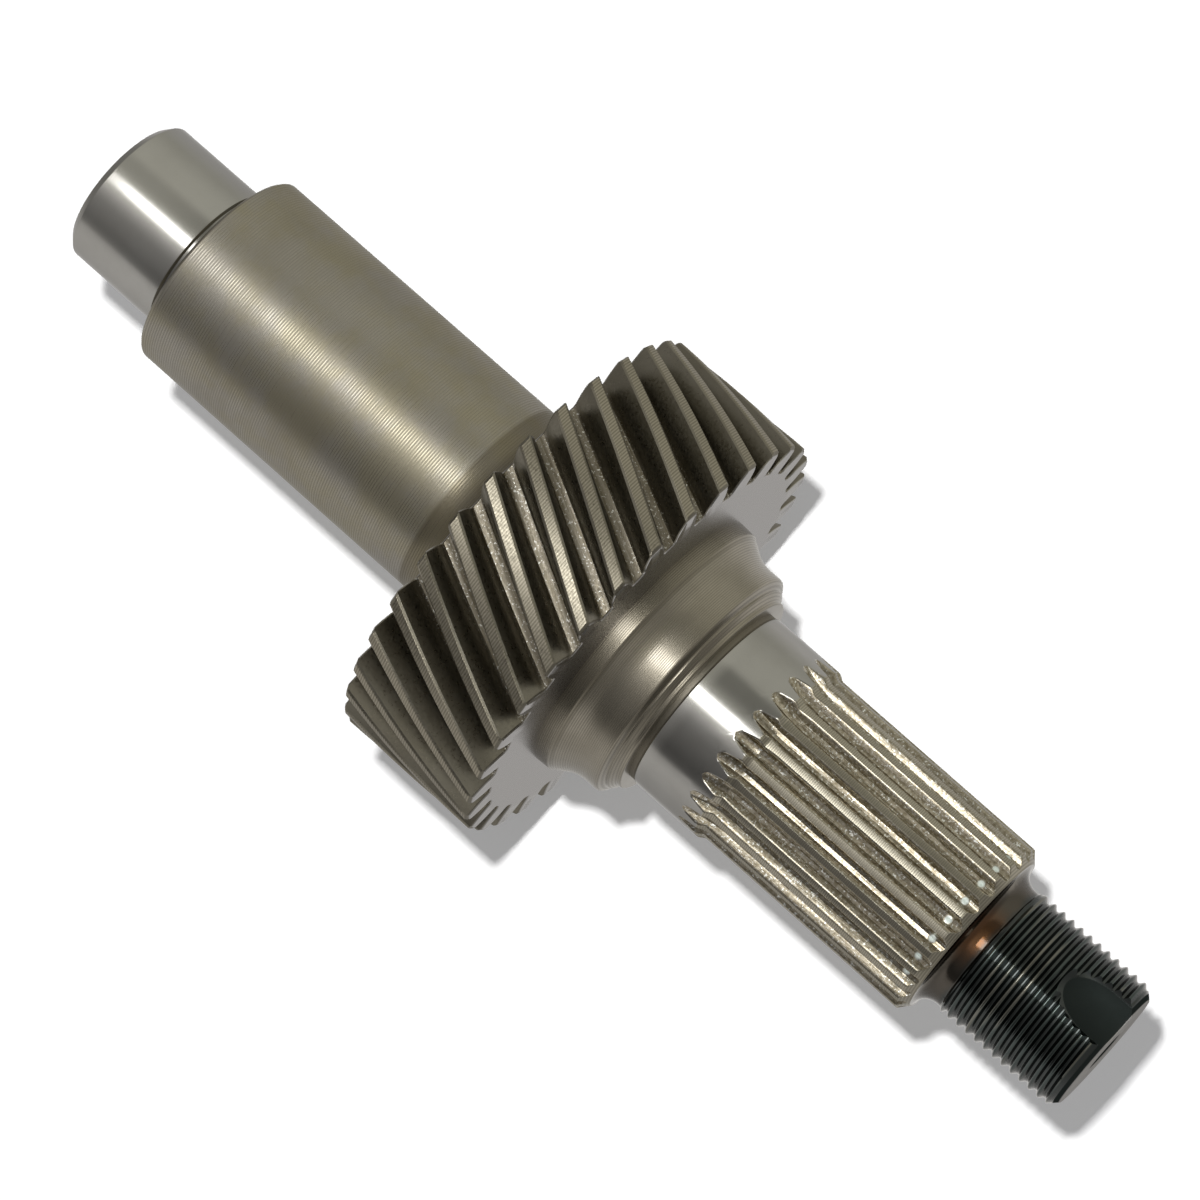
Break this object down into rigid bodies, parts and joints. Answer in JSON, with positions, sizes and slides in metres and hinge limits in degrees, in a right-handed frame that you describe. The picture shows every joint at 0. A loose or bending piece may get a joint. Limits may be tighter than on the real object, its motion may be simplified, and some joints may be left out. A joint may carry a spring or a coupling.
{
  "type": "input shaft",
  "caption": "Gearbox input shaft in one piece with a helical pinion, bearing journals, an external involute spline and a threaded end with a staking slot.",
  "frame": {"origin": "centre of the plain end face, on the shaft's axis", "axes": "+Z along the shaft's axis from the plain end to the threaded end; -Y is the side the slot and teeth are clocked from"},
  "size_m": [0.0656, 0.0656, 0.1731],
  "materials": {
    "shaft_steel": "oiled bare steel: ground journals, turned seats, dark hobbed teeth and a blackened thread"
  },
  "bodies": {
    "root": {"input_shaft": "shaft_steel"}
  },
  "joints": []
}
